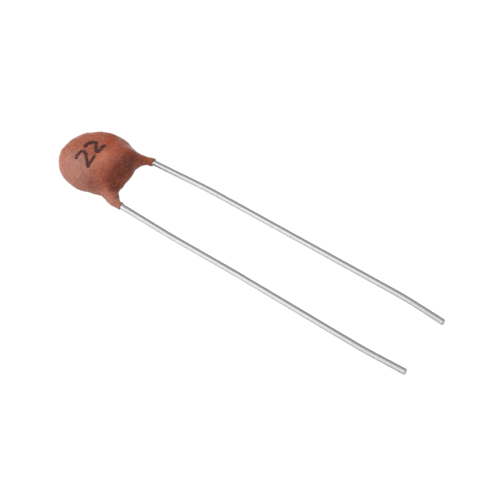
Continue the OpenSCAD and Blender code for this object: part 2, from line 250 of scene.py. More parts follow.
class Recipe:
    """A material's node tree, written one node at a time."""

    def __init__(self, name: str) -> None:
        """Starts an empty material.

        Args:
            name: Name of the material.
        """
        self.material = bpy.data.materials.new(name)
        self.material.use_nodes = True
        self.tree = self.material.node_tree
        self.tree.nodes.clear()
        self.output = self.tree.nodes.new("ShaderNodeOutputMaterial")

    def node(
        self, kind: str, settings: dict[str, object] | None = None, **inputs: object
    ) -> bpy.types.Node:
        """Adds a node and fills its inputs.

        Args:
            kind: The node's type, without its ShaderNode start.
            settings: Values for the node's own properties.
            **inputs: A value or an output socket for each input, by its name with _ for a space,
                or by its number after an i.

        Returns:
            The node.
        """
        node = self.tree.nodes.new("ShaderNode" + kind)
        for name, value in (settings or {}).items():
            setattr(node, name, value)
        for name, value in inputs.items():
            numbered = name[0] == "i" and name[1:].isdigit()
            key = int(name[1:]) if numbered else name.replace("_", " ")
            if isinstance(value, Socket):
                self.tree.links.new(value, node.inputs[key])
            elif isinstance(value, tuple) and node.inputs[key].type == "RGBA":
                node.inputs[key].default_value = (*value, 1.0)
            else:
                node.inputs[key].default_value = value
        return node

    def bench_place(self) -> Socket:
        """The point being shaded, in millimetres on the bench."""
        mapping = self.node(
            "Mapping",
            {"vector_type": "TEXTURE"},
            Vector=self.node("TexCoord").outputs["Object"],
            Location=tuple(disc_middle()),
            Rotation=(LEAN, 0.0, 0.0),
            Scale=(MM, MM, MM),
        )
        return mapping.outputs["Vector"]

    def noise(
        self, place: Socket, grain: float, detail: float = 2.0, roughness: float = 0.5
    ) -> Socket:
        """A noise pattern.

        Args:
            place: Where it is read.
            grain: Size of its spots, in millimetres.
            detail: How many finer layers it has.
            roughness: How strong those are.

        Returns:
            Its value, 0 to 1.
        """
        node = self.node(
            "TexNoise", Vector=place, Scale=1.0 / grain, Detail=detail, Roughness=roughness
        )
        return node.outputs["Fac"]

    def along(self, place: Socket, axis: str) -> Socket:
        """One coordinate of a point: X, Y or Z."""
        return self.node("SeparateXYZ", Vector=place).outputs[axis]

    def ramp(self, value: Socket, low: float, high: float) -> Socket:
        """A value brought to 0..1 and held there, with a smooth start and end.

        Args:
            value: The value.
            low: Where it gives 0.
            high: Where it gives 1, which may be the lesser of the two.

        Returns:
            The value brought there.
        """
        settings = {"interpolation_type": "SMOOTHSTEP"}
        node = self.node("MapRange", settings, Value=value, From_Min=low, From_Max=high)
        return node.outputs["Result"]

    def calc(self, operation: str, *values: float | Socket) -> Socket:
        """The result of a sum on one to three values."""
        inputs = {f"i{number}": value for number, value in enumerate(values)}
        return self.node("Math", {"operation": operation}, **inputs).outputs["Value"]

    def mix(self, share: float | Socket, first: Colour | Socket, second: Colour | Socket) -> Socket:
        """Two colours mixed by a share of the second."""
        return self.node("Mix", {"data_type": "RGBA"}, i0=share, i6=first, i7=second).outputs[2]

    def tint(self, colour: Socket, cover: Socket, share: float | Socket, tone: Colour) -> Socket:
        """A colour with a share of another tone laid over it where that one covers it."""
        return self.mix(self.calc("MULTIPLY", cover, share), colour, tone)

    def bump(
        self, height: Socket, depth: float, strength: float = 1.0, under: Socket | None = None
    ) -> Socket:
        """Fine relief of the surface.

        Args:
            height: Its pattern.
            depth: Its depth, in millimetres.
            strength: How much of it shows.
            under: A normal that it is laid over.

        Returns:
            The normal.
        """
        node = self.node("Bump", Height=height, Distance=depth * MM, Strength=strength)
        if under is not None:
            self.tree.links.new(under, node.inputs["Normal"])
        return node.outputs["Normal"]

    def finish(self, **inputs: object) -> bpy.types.Material:
        """Ends the recipe with a principled surface.

        Args:
            **inputs: The surface's inputs, as for a node.

        Returns:
            The finished material.
        """
        surface = self.node("BsdfPrincipled", **inputs)
        self.tree.links.new(surface.outputs["BSDF"], self.output.inputs["Surface"])
        return self.material


@dataclass(frozen=True)
class Patch:
    """A round soft-edged patch on the coat.

    Attributes:
        middle: Its middle, on the bench.
        size: Its half sizes.
        edge: Where it begins, as a part of the way out to its size.
        full: Where it is full, likewise.
        turn: How far it is turned round the disc's axis, in radians.
    """

    middle: Point
    size: Point
    edge: float
    full: float
    turn: float = 0.0

    def cover(self, recipe: Recipe, place: Socket, uneven: Socket) -> Socket:
        """How much the patch covers of a point.

        Args:
            recipe: The material being written.
            place: The point being shaded, on the bench.
            uneven: A little noise that makes its edge ragged.

        Returns:
            The share that it covers, 0 to 1.
        """
        inside = recipe.node(
            "Mapping", {"vector_type": "TEXTURE"}, Vector=place, Location=self.middle,
            Rotation=(0.0, 0.0, self.turn), Scale=self.size,
        ).outputs["Vector"]
        out = recipe.node("VectorMath", {"operation": "LENGTH"}, i0=inside).outputs["Value"]
        return recipe.ramp(recipe.calc("ADD", out, uneven), self.edge, self.full)


@dataclass(frozen=True)
class Flank:
    """One side of the coat.

    Attributes:
        edge: How far across the part it begins, in millimetres.
        full: How far across it is full.
    """

    edge: float
    full: float

    def cover(self, recipe: Recipe, place: Socket, uneven: Socket) -> Socket:
        """How much the flank covers of a point, 0 to 1, with a patch's inputs."""
        across = recipe.along(place, "X")
        return recipe.ramp(recipe.calc("ADD", across, uneven), self.edge, self.full)


@dataclass(frozen=True)
class Layer:
    """A tone laid over some of the coat.

    Attributes:
        tone: Its colour.
        share: How much of it shows where it is full.
        shapes: The patches and flanks that it covers.
    """

    tone: Colour
    share: float
    shapes: tuple[Patch | Flank, ...]

    def cover(self, recipe: Recipe, place: Socket, uneven: Socket) -> Socket:
        """The most that one of its shapes covers of a point, 0 to 1, with a patch's inputs."""
        covers = [shape.cover(recipe, place, uneven) for shape in self.shapes]
        return reduce(lambda most, cover: recipe.calc("MAXIMUM", most, cover), covers)


@dataclass(frozen=True)
class DippedResin:
    """Matte fine-grained brown resin with painted sheen, painted light and painted shade in soft
    patches, and a stamped number.

    Attributes:
        clay: Its main colour.
        rust: Its warmer patches.
        dust: Its paler, dustier patches.
        sheen_and_speck: Painted sheen: a pale highlight painted on the shoulder of the marked face
            and down the -X flank; also the colour of the resin's own pale specks.
        pit: Colour of its small pits and of dark specks.
        ink: Colour of the stamped number.
        painted_shade_low: Painted shade: the colour of a dark patch by the waist, on the low -X
            side.
        painted_shade_right: Painted shade: a darker, warmer colour on the right side of the marked
            face, towards its shoulder.
        painted_light: Painted light: a paler, warmer colour on the step below the number, as if
            lit.
        painted_shade_slope: Painted shade: a darker colour on the slope to the crotch, which faces
            away from the lights, and by the root of the left leg.
        film: Colour of the thin dusty film, which shows where the surface is seen aslant.
        layers: Those tones where they lie, from the lowest. The last is the painted shade by the
            waist.
        grain: Size of its finest grain, in millimetres.
        lump: Size of its soft lumps.
        speck: Size of its specks.
        pit_spacing: Distance between its pits.
        pitted: Share of the pits that show away from the painted shade by the waist.
        pitted_more: How much more of them show in that painted shade.
    """

    clay: Colour = linear(182, 98, 72)
    rust: Colour = linear(182, 94, 67)
    dust: Colour = linear(184, 108, 88)
    sheen_and_speck: Colour = linear(196, 140, 124)
    pit: Colour = linear(104, 50, 40)
    ink: Colour = linear(64, 30, 24)
    painted_shade_low: Colour = linear(116, 54, 40)
    painted_shade_right: Colour = linear(176, 76, 44)
    painted_light: Colour = linear(210, 124, 90)
    painted_shade_slope: Colour = linear(142, 65, 49)
    film: Colour = linear(215, 228, 228)
    layers: tuple[Layer, ...] = (
        # Painted sheen: a pale highlight painted on the shoulder of the marked face
        Layer(sheen_and_speck, 0.88, (Patch((-1.85, 0.8, 0.85), (1.6, 2.4, 1.15), 1.15, 0.1, turn=-0.35),)),
        # Painted sheen: the -X flank painted paler, as if lit
        Layer(sheen_and_speck, 0.52, (Flank(-2.0, -2.9),)),
        # Painted light: the step below the number painted paler and warmer, as if lit
        Layer(painted_light, 0.7, (Patch((-0.4, -0.3, 1.05), (1.65, 0.68, 0.6), 1.15, 0.3),)),
        # Painted shade: the right side of the marked face painted darker and warmer
        Layer(painted_shade_right, 0.9, (Patch((1.75, -0.75, 0.95), (1.5, 1.65, 0.8), 1.1, 0.6),)),
        # Painted shade: the slope to the crotch and the corner by the left leg's root painted
        # darker
        Layer(painted_shade_slope, 0.85, (
            Patch((0.1, -2.35, 0.95), (2.4, 0.75, 0.75), 1.15, 0.5),
            Patch((-1.65, -2.8, 0.45), (0.75, 0.5, 0.5), 1.1, 0.5),
        )),
        # Painted shade: a dark patch by the waist, on the low -X side
        Layer(painted_shade_low, 0.36, (Patch((-2.5, -1.4, 0.5), (0.65, 0.85, 0.6), 1.1, 0.4),)),
    )
    grain: float = 0.07
    lump: float = 0.3
    speck: float = 0.15
    pit_spacing: float = 0.42
    pitted: float = 0.1
    pitted_more: float = 0.6

    def material(self) -> bpy.types.Material:
        """The finish as a material."""
        recipe = Recipe("dipped_resin")
        place = recipe.bench_place()
        colour = self._ground(recipe, place)
        colour = recipe.mix(self._print_on(recipe, place), colour, self.ink)
        lumps = recipe.bump(recipe.noise(place, self.lump), 0.02, 0.5)
        grain = recipe.noise(place, self.grain, 2.0, 0.7)
        return recipe.finish(
            Base_Color=colour, Roughness=0.42, IOR=1.5, Specular_IOR_Level=0.16,
            Sheen_Weight=1.0, Sheen_Roughness=0.38, Sheen_Tint=self.film,
            Normal=recipe.bump(grain, 0.008, 0.6, lumps),
        )

    def _ground(self, recipe: Recipe, place: Socket) -> Socket:
        """The resin's colour, with its patches, specks and pits, and its layers of painted sheen,
        light and shade.

        Args:
            recipe: The material being written.
            place: The point being shaded, on the bench.

        Returns:
            The colour.
        """
        rusty = recipe.ramp(recipe.noise(place, 1.6), 0.35, 0.65)
        dusty = recipe.ramp(recipe.noise(place, 0.5, 3.0, 0.6), 0.45, 0.75)
        colour = recipe.tint(recipe.mix(rusty, self.clay, self.rust), dusty, 0.3, self.dust)
        uneven = recipe.calc("MULTIPLY_ADD", recipe.noise(place, 0.4, 3.0, 0.6), 0.5, -0.25)
        covers = [layer.cover(recipe, place, uneven) for layer in self.layers]
        for layer, cover in zip(self.layers, covers):
            colour = recipe.tint(colour, cover, layer.share, layer.tone)
        specks = recipe.noise(place, self.speck, 2.0, 0.7)
        colour = recipe.tint(colour, recipe.ramp(specks, 0.5, 0.75), 0.55, self.sheen_and_speck)
        colour = recipe.tint(colour, recipe.ramp(specks, 0.5, 0.25), 0.5, self.pit)
        cells = recipe.node("TexVoronoi", Vector=place, Scale=1.0 / self.pit_spacing)
        pits = recipe.ramp(cells.outputs["Distance"], 0.15, 0.05)
        # The painted shade by the waist, where more of the pits show
        low_shade = covers[-1]
        shown = recipe.calc("MULTIPLY_ADD", low_shade, self.pitted_more, self.pitted)
        return recipe.tint(colour, pits, shown, self.pit)

    def _print_on(self, recipe: Recipe, place: Socket) -> Socket:
        """How much ink lies at a point, from the gap to the nearest stroke.

        Args:
            recipe: The material being written.
            place: The point being shaded, on the bench.

        Returns:
            The share of ink.
        """
        gap = recipe.node("Attribute", {"attribute_name": INK_GAP}).outputs["Fac"]
        ragged = recipe.calc("MULTIPLY_ADD", recipe.noise(place, 0.12, 3.0, 0.6), 0.20, -0.10)
        inked = recipe.ramp(recipe.calc("ADD", gap, ragged), 0.05, -0.06)
        blotches = recipe.ramp(recipe.noise(place, 0.22, 3.0, 0.6), 0.34, 0.5)
        return recipe.calc("MULTIPLY", inked, recipe.calc("MULTIPLY_ADD", blotches, 0.35, 0.6))


@dataclass(frozen=True)
class TinnedWire:
    """Bright tin over copper-clad wire, with faint drawing lines, rougher towards the cut ends and
    duller there with painted shade.

    Attributes:
        tin: Colour of the bright tin.
        dull_and_end_shade: Colour of its dull spots, and of the painted shade towards the cut ends.
        roughness: Roughness of the bright tin.
        worn: How much rougher the worn ends are.
        wear_and_shade_from: Where along the wires the wear and the painted shade begin, on the
            bench.
        wear_and_shade_to: Where they are full.
        line: Distance between the drawing lines, in millimetres.
        line_squeeze: Their width as a part of their length.
        spot: Size of the dull spots.
    """

    tin: Colour = (0.95, 0.95, 0.94)
    dull_and_end_shade: Colour = (0.88, 0.88, 0.87)
    roughness: float = 0.13
    worn: float = 0.27
    wear_and_shade_from: float = -17.0
    wear_and_shade_to: float = -30.0
    line: float = 0.10
    line_squeeze: float = 0.004
    spot: float = 0.9

    def material(self) -> bpy.types.Material:
        """The finish as a material."""
        recipe = Recipe("tinned_wire")
        place = recipe.bench_place()
        drawn = recipe.node("Mapping", Vector=place, Scale=(1.0, self.line_squeeze, 1.0))
        lines = recipe.noise(drawn.outputs["Vector"], self.line)
        spots = recipe.ramp(recipe.noise(place, self.spot, 3.0, 0.6), 0.5, 0.75)
        # Rougher towards the cut ends, and painted shade that dulls the tin there
        ends = recipe.ramp(recipe.along(place, "Y"), self.wear_and_shade_from, self.wear_and_shade_to)
        dulled_and_shaded = recipe.calc("MAXIMUM", recipe.calc("MULTIPLY", spots, 0.5), ends)
        wear = recipe.calc("ADD", recipe.calc("MULTIPLY", spots, 0.3), ends)
        return recipe.finish(
            Base_Color=recipe.mix(dulled_and_shaded, self.tin, self.dull_and_end_shade),
            Metallic=1.0,
            Roughness=recipe.calc("MULTIPLY_ADD", wear, self.worn, self.roughness),
            Normal=recipe.bump(lines, 0.006, 0.3),
        )


@dataclass(frozen=True)
class SolderedTin:
    """Satin solder with a frosty grain.

    Attributes:
        grey: Its darker colour.
        pale: Its frosted colour.
        grain: Size of the frost, in millimetres.
    """

    grey: Colour = (0.55, 0.56, 0.58)
    pale: Colour = (0.72, 0.73, 0.74)
    grain: float = 0.08

    def material(self) -> bpy.types.Material:
        """The finish as a material."""
        recipe = Recipe("satin_solder")
        frost = recipe.noise(recipe.bench_place(), self.grain, 3.0, 0.6)
        colour = recipe.mix(recipe.ramp(frost, 0.35, 0.7), self.grey, self.pale)
        normal = recipe.bump(frost, 0.01, 0.5)
        return recipe.finish(Base_Color=colour, Metallic=1.0, Roughness=0.38, Normal=normal)


@dataclass(frozen=True)
class FiredSilver:
    """Matte silver paste, fired on and slightly porous.

    Attributes:
        silver: Its clean colour.
        tarnish: Its tarnished colour.
        pore: Size of its pores, in millimetres.
        cloud: Size of its tarnished clouds.
    """

    silver: Colour = (0.78, 0.77, 0.73)
    tarnish: Colour = (0.60, 0.57, 0.50)
    pore: float = 0.05
    cloud: float = 0.7

    def material(self) -> bpy.types.Material:
        """The finish as a material."""
        recipe = Recipe("fired_silver")
        place = recipe.bench_place()
        cloudy = recipe.ramp(recipe.noise(place, self.cloud, 3.0), 0.4, 0.7)
        colour = recipe.mix(recipe.calc("MULTIPLY", cloudy, 0.5), self.silver, self.tarnish)
        normal = recipe.bump(recipe.noise(place, self.pore, 2.0, 0.6), 0.004, 0.6)
        return recipe.finish(Base_Color=colour, Metallic=0.9, Roughness=0.5, Normal=normal)


@dataclass(frozen=True)
class TitanateCeramic:
    """Pressed and fired cream ceramic.

    Attributes:
        cream: Its main colour.
        tan: Its darker grains.
        grain: Size of those, in millimetres.
    """

    cream: Colour = (0.74, 0.66, 0.50)
    tan: Colour = (0.60, 0.50, 0.36)
    grain: float = 0.06

    def material(self) -> bpy.types.Material:
        """The finish as a material."""
        recipe = Recipe("titanate_ceramic")
        grain = recipe.noise(recipe.bench_place(), self.grain, 3.0, 0.6)
        colour = recipe.mix(recipe.ramp(grain, 0.35, 0.75), self.cream, self.tan)
        normal = recipe.bump(grain, 0.004, 0.5)
        return recipe.finish(Base_Color=colour, Roughness=0.7, IOR=1.6, Normal=normal)


# ---- Leads ----


class Side(Enum):
    """Which side of the part a lead is on, as the number is read."""

    RIGHT = "right"
    LEFT = "left"

    @property
    def sign(self) -> int:
        """Which way that is along X."""
        return 1 if self is Side.RIGHT else -1


@dataclass
class Lead:
    """A round tinned wire, from its soldered end inside the coat to its cut end.

    Its inner corners are given for the right lead, which lies on the marked face. The left one is
    the same, half a turn round.

    Attributes:
        side: Which side it is on.
        sets: How far out and how far down the wire is at each gentle set outside the coat and at
            its cut end.
        inner: Corners of its middle line inside the coat, from its soldered end: the end on the
            face of the disc, the shoulder by the disc's edge, the knee and the leg's root.
        radius: Radius of the wire.
        form_bend: Radius of the formed bends inside the coat.
        lead_bend: Radius of the gentle sets outside it.
        cut_round: Rounding of the cut end.
        round_steps: Faces across that rounding.
        step: Length of one ring of faces along a straight.
        step_turn: Largest turn from one ring to the next, in degrees.
        around: Faces round the wire.
        tin: Unevenness of the tin: size of its lumps and how high they are.
    """

    side: Side
    sets: tuple[tuple[float, float], ...]
    inner: tuple[Point, ...] = (
        (-0.5, 0.3, 0.465), (1.803, -1.803, 0.465), (2.5, -2.853, 0.0), (2.66, -3.353, 0.0),
    )
    radius: float = 0.225
    form_bend: float = 0.6
    lead_bend: float = 30.0
    cut_round: float = 0.07
    round_steps: int = 5
    step: float = 0.35
    step_turn: float = 8.0
    around: int = 40
    tin: tuple[float, float] = (1.2, 0.012)
    piece: bpy.types.Object = field(init=False)

    def build(self) -> bpy.types.Object:
        """Models the wire on the bench and returns it."""
        points = self._path()
        takes = [self._take(points, i) for i in range(len(points))]
        first = (points[1] - points[0]).normalized()
        bpy.ops.object.select_all(action="DESELECT")
        bpy.ops.mesh.primitive_circle_add(
            vertices=self.around, radius=self.radius, fill_type="NGON", location=points[0],
            rotation=first.to_track_quat("Z", "Y").to_euler(),
        )
        self.piece = bpy.context.active_object
        self.piece.name = self.piece.data.name = f"{self.side.value}_wire"
        bpy.ops.object.transform_apply(location=True, rotation=True, scale=True)
        open_mesh(self.piece, "FACE")
        bpy.ops.mesh.select_all(action="SELECT")
        for i in range(len(points) - 1):
            run = points[i + 1] - points[i]
            self._draw(run.normalized(), run.length - takes[i] - takes[i + 1])
            if i + 2 < len(points):
                self._turn(points, i + 1)
        bpy.ops.mesh.select_mode(type="EDGE")
        bpy.ops.mesh.bevel(offset=self.cut_round, segments=self.round_steps, affect="EDGES")
        bpy.ops.mesh.select_all(action="SELECT")
        bpy.ops.mesh.normals_make_consistent(inside=False)
        close_mesh()
        Ripple(f"{self.side.value}_tin", *self.tin).press_into(self.piece)
        return self.piece

    def _path(self) -> list[Vector]:
        """Corners of the wire's middle line, from its soldered end to its cut end."""
        outer = ((out, -down, 0.0) for out, down in self.sets)
        sign = self.side.sign
        return [Vector((sign * x, y, sign * z)) for x, y, z in (*self.inner, *outer)]

    def _radius_at(self, i: int) -> float:
        """Bend radius at a corner."""
        return self.form_bend if i < len(self.inner) else self.lead_bend

    def _half_turn(self, points: list[Vector], i: int) -> float:
        """Half the angle that the path turns through at a corner."""
        return (points[i] - points[i - 1]).angle(points[i + 1] - points[i]) / 2

    def _take(self, points: list[Vector], i: int) -> float:
        """Length that a bend takes from the straight on each side of a corner.

        Args:
            points: The path's corners.
            i: Number of the corner.

        Returns:
            The length, which is 0 at both ends of the path.
        """
        if i in (0, len(points) - 1):
            return 0.0
        return self._radius_at(i) * math.tan(self._half_turn(points, i))

    def _draw(self, way: Vector, length: float) -> None:
        """Extrudes the wire's end along a straight, in even steps.

        Args:
            way: Direction of the straight.
            length: Its length.
        """
        count = max(1, round(length / self.step))
        for _ in range(count):
            move = {"value": way * (length / count)}
            bpy.ops.mesh.extrude_region_move(TRANSFORM_OT_translate=move)

    def _turn(self, points: list[Vector], i: int) -> None:
        """Spins the wire's end round the bend at a corner.

        Args:
            points: The path's corners.
            i: Number of the corner.
        """
        way_in = (points[i] - points[i - 1]).normalized()
        way_out = (points[i + 1] - points[i]).normalized()
        radius, half = self._radius_at(i), self._half_turn(points, i)
        arc_steps = 2 * half * radius / self.step
        turn_steps = math.degrees(2 * half) / self.step_turn
        bpy.ops.mesh.spin(
            steps=max(3, round(max(arc_steps, turn_steps))),
            angle=2 * half,
            center=points[i] + (way_out - way_in).normalized() * (radius / math.cos(half)),
            axis=way_out.cross(way_in).normalized(),
        )


# ---- Coat ----

# Attribute of the skin that holds the distance to the nearest stroke of the number
INK_GAP = "ink_gap"
# Distance that it holds where no stroke is near
NO_STROKE = 9.0
# Part of the marked face that is stamped: how far it goes each way and how high it begins
STAMPED_ACROSS = (-2.6, 2.6)
STAMPED_ALONG = (-0.8, 2.2)
STAMPED_ABOVE = 0.3
# Height above the disc's middle plane at which the marked face's relief begins
RELIEF_FROM = 0.15
# Height over which it comes in
RELIEF_FADE = 0.55
# Share of a relief below which it is left out
LEAST_SHARE = 0.001


@dataclass(frozen=True)
class Stamp:
    """A stroke of the stamped number.

    Attributes:
        points: Its points across the marked face, each with half its width, in millimetres.
    """

    points: tuple[Point, ...]

    def gap(self, place: Vector) -> float:
        """Distance in plan from a point on the bench to the stroke's edge.

        Args:
            place: The point.

        Returns:
            The distance, less than 0 inside the stroke.
        """
        flat = Vector((place.x, place.y, 0.0))
        gaps = [NO_STROKE]
        for a, b in zip(self.points, self.points[1:]):
            start, end = Vector((*a[:2], 0.0)), Vector((*b[:2], 0.0))
            share = held(intersect_point_line(flat, start, end)[1])
            half_width = a[2] + (b[2] - a[2]) * share
            gaps.append((start.lerp(end, share) - flat).length - half_width)
        return min(gaps)


@dataclass(frozen=True)
class Swell:
    """A soft rise or hollow in the marked face, in millimetres.

    Attributes:
        name: Its name.
        middle: Where its middle is, across and along the disc.
        spread: How far it reaches each way.
        squareness: How flat its top is each way; 2 gives a round hill.
        height: How far it rises, or sinks where it is less than 0.
        way: The direction that it displaces the skin in.
    """

    name: str
    middle: tuple[float, float]
    spread: tuple[float, float]
    squareness: tuple[float, float]
    height: float
    way: str = "Z"

    def share(self, place: Vector) -> float:
        """Share of the full height at a point, less towards the rim of the coat.

        Args:
            place: The point, on the bench.

        Returns:
            The share, 0 to 1.
        """
        if place.z < RELIEF_FROM:
            return 0.0
        across = (abs(place.x - self.middle[0]) / self.spread[0]) ** self.squareness[0]
        along = (abs(place.y - self.middle[1]) / self.spread[1]) ** self.squareness[1]
        return math.exp(-across - along) * held((place.z - RELIEF_FROM) / RELIEF_FADE)


@dataclass(frozen=True)
class Bulge:
    """A round fuller spot of the skin.

    Attributes:
        name: Its name.
        middle: Its middle, on the bench.
        reach: How far it reaches, in millimetres.
        height: How far it stands out.
        way: The direction that it displaces the skin in.
    """

    name: str
    middle: Point
    reach: float
    height: float
    way: str = "NORMAL"

    def share(self, place: Vector) -> float:
        """Share of the full height at a point."""
        away = (place - Vector(self.middle)).length_squared / self.reach**2
        return max(0.0, 1.0 - away) ** 2


@dataclass
class Coat:
    """The dipped resin coat, with its two legs down the wires and its stamped number.

    Attributes:
        voxel: Size of the cells that the skin is made over with.
        right_leg: How far below the disc's centre the right leg ends.
        left_leg: How far below it the left leg ends.
        leg_spare: How much longer the legs are while the skin is made over.
        leg_zone: Length at the end of a leg that the cut through it looks at.
        swells: Rises and hollows of the marked face, over the disc and the buried wire.
        bulges: Fuller spots round the rim.
        ripples: Unevenness of the skin, from the coarsest to the finest.
        stamps: Strokes of the number on the marked face.
    """

    voxel: float = 0.042
    right_leg: float = 3.393
    left_leg: float = 4.203
    leg_spare: float = 0.4
    leg_zone: float = 0.5
    swells: tuple[Swell, ...] = (
        Swell("dish", (-0.02, 0.85), (1.72, 1.72), (4.0, 4.0), -0.20),
        Swell("ridge", (0.0, -1.59), (2.3, 0.86), (6.0, 2.0), 0.148),
        Swell("knob", (0.72, -0.78), (0.82, 0.41), (2.0, 2.0), 0.045),
        Swell("foot", (0.0, -3.12), (2.3, 0.46), (6.0, 2.0), -0.26),
    )
    bulges: tuple[Bulge, ...] = (
        Bulge("shoulder", (2.38, 0.64, 0.70), 0.75, 0.07),
        Bulge("crown", (2.05, 1.25, 0.70), 0.85, 0.07),
        Bulge("flank", (-2.66, -1.50, -0.24), 0.70, 0.08),
    )
    ripples: tuple[Ripple, ...] = (
        Ripple("sag", 1.1, 0.10), Ripple("lump", 0.35, 0.05), Ripple("grit", 0.13, 0.02),
    )
    stamps: tuple[Stamp, ...] = (
        Stamp((
            (-1.42, 1.13, 0.15), (-1.20, 1.26, 0.15), (-0.88, 1.33, 0.16), (-0.58, 1.27, 0.17),
            (-0.45, 1.08, 0.17), (-0.66, 0.78, 0.15), (-0.99, 0.47, 0.14), (-1.25, 0.22, 0.15),
            (-1.50, -0.03, 0.16), (-1.66, -0.19, 0.15), (-1.20, -0.05, 0.14), (-0.86, 0.02, 0.13),
            (-0.58, 0.07, 0.12), (-0.32, 0.14, 0.11),
        )),
        Stamp((
            (0.05, 1.38, 0.15), (0.32, 1.41, 0.17), (0.60, 1.31, 0.19), (0.82, 1.14, 0.20),
            (0.88, 0.97, 0.19), (0.72, 0.80, 0.17), (0.49, 0.66, 0.15), (0.26, 0.48, 0.15),
            (0.03, 0.28, 0.17), (0.11, 0.18, 0.18), (0.37, 0.19, 0.19), (0.68, 0.23, 0.20),
            (0.97, 0.20, 0.17),
        )),
    )
    piece: bpy.types.Object = field(init=False)

    def build(self, wires: list[bpy.types.Object]) -> bpy.types.Object:
        """Models the coat on the bench.

        Args:
            wires: The finished lead pieces, which the coat is closed round.

        Returns:
            The coat.
        """
        self.piece = bench_copy("coating", "resin_skin")
        self._fill(wires)
        self._cut_legs(self.leg_spare)
        apply_modifier(self.piece, "REMESH", mode="VOXEL", voxel_size=self.voxel)
        self._cut_legs(0.0)
        for shape in (*self.swells, *self.bulges):
            self._raise(shape)
        apply_modifier(self.piece, "SMOOTH", factor=0.5, iterations=3)
        for ripple in self.ripples:
            ripple.press_into(self.piece)
        self._hollow(wires)
        self._drop_slivers()
        self._stamp()
        return self.piece

    def _insides(self, wires: list[bpy.types.Object]) -> list[bpy.types.Object]:
        """Copies of everything that the coat closes round, on the bench.

        Args:
            wires: The finished lead pieces.

        Returns:
            The copies: the disc, its electrodes, the solder and the wires.
        """
        copies = [bench_copy(node, f"copy_{node}") for node in SEALED_NODES]
        return copies + [add_object(f"copy_{wire.name}", wire.data.copy()) for wire in wires]

    def _fill(self, wires: list[bpy.types.Object]) -> None:
        """Joins what the coat closes round to it, so that it is made over as a full body.

        Args:
            wires: The finished lead pieces.
        """
        bpy.ops.object.select_all(action="DESELECT")
        for piece in (*self._insides(wires), self.piece):
            piece.select_set(True)
        bpy.context.view_layer.objects.active = self.piece
        bpy.ops.object.join()

    def _cut_legs(self, spare: float) -> None:
        """Cuts both legs off square, some way below their ends.

        Args:
            spare: How far below.
        """
        for side, depth in ((Side.RIGHT, self.right_leg), (Side.LEFT, self.left_leg)):
            clear_corners(self.piece)
            for vertex in self.piece.data.vertices:
                on_side = vertex.co.x * side.sign > 0
                vertex.select = on_side and vertex.co.y < self.leg_zone - depth
            bpy.ops.object.mode_set(mode="EDIT")
            bpy.ops.mesh.bisect(
                plane_co=(0.0, -depth - spare, 0.0), plane_no=(0.0, -1.0, 0.0), use_fill=True,
                clear_outer=True,
            )
            close_mesh()

    def _raise(self, shape: Swell | Bulge) -> None:
        """Raises the skin by a swell or a bulge.

        Args:
            shape: Its shape.
        """
        group = self.piece.vertex_groups.new(name=shape.name)
        for vertex in self.piece.data.vertices:
            share = shape.share(vertex.co)
            if share > LEAST_SHARE:
                group.add([vertex.index], share, "REPLACE")
        apply_modifier(
            self.piece, "DISPLACE", direction=shape.way, vertex_group=shape.name,
            strength=shape.height, mid_level=0.0,
        )
        self.piece.vertex_groups.clear()

    def _hollow(self, wires: list[bpy.types.Object]) -> None:
        """Cuts what the coat closes round out of it, and leaves it without a material.

        Args:
            wires: The finished lead pieces.
        """
        for copy in self._insides(wires):
            apply_modifier(
                self.piece, "BOOLEAN", operation="DIFFERENCE", object=copy, solver="MANIFOLD",
            )
            bpy.data.objects.remove(copy)
        faces = self.piece.data.polygons
        faces.foreach_set("material_index", [0] * len(faces))
        self.piece.data.materials.clear()

    def _drop_slivers(self) -> None:
        """Deletes all that isn't joined to the skin's highest point, and the cuts' old normals."""
        clear_corners(self.piece)
        max(self.piece.data.vertices, key=lambda vertex: vertex.co.z).select = True
        bpy.ops.object.mode_set(mode="EDIT")
        bpy.ops.mesh.select_linked()
        bpy.ops.mesh.select_all(action="INVERT")
        bpy.ops.mesh.delete(type="VERT")
        close_mesh()
        bpy.ops.mesh.customdata_custom_splitnormals_clear()

    def _stamp(self) -> None:
        """Notes at each point of the marked face how far it is from a stroke of the number."""
        gap = self.piece.data.attributes.new(INK_GAP, "FLOAT", "POINT")
        for vertex in self.piece.data.vertices:
            near = (
                vertex.co.z > STAMPED_ABOVE
                and STAMPED_ACROSS[0] < vertex.co.x < STAMPED_ACROSS[1]
                and STAMPED_ALONG[0] < vertex.co.y < STAMPED_ALONG[1]
            )
            gaps = [stamp.gap(vertex.co) for stamp in self.stamps] if near else [NO_STROKE]
            gap.data[vertex.index].value = min(gaps)


# ---- Studio ----


@dataclass(frozen=True)
class Viewpoint:
    """The scene's camera.

    Attributes:
        place: Where it stands, in millimetres.
        azimuth: Angle round from the -Y side, in degrees.
        elevation: Angle above the floor that it looks down at.
        roll: How far it is turned on its own axis.
        lens: Focal length, in millimetres.
        sensor: Width of its sensor.
        nearest: Distance at which it begins to see, in metres.
        farthest: Distance up to which it sees.
    """

    place: Point = (-113.049, -71.558, 139.204)
    azimuth: float = -57.980
    elevation: float = 46.103
    roll: float = 3.216
    lens: float = 181.774
    sensor: float = 36.0
    nearest: float = 0.001
    farthest: float = 20.0

    def build(self) -> bpy.types.Object:
        """Sets the camera up and returns it."""
        camera = add_object("camera", bpy.data.cameras.new("camera"))
        turn, tilt = math.radians(self.azimuth), math.radians(self.elevation)
        level = math.cos(tilt)
        back = Vector((math.sin(turn) * level, -math.cos(turn) * level, math.sin(tilt)))
        place = Matrix.Translation(Vector(self.place) * MM)
        aim = (-back).to_track_quat("-Z", "Y").to_matrix().to_4x4()
        camera.matrix_world = place @ aim @ Matrix.Rotation(math.radians(self.roll), 4, "Z")
        camera.data.lens = self.lens
        camera.data.sensor_width = self.sensor
        camera.data.clip_start = self.nearest
        camera.data.clip_end = self.farthest
        bpy.context.scene.camera = camera
        return camera


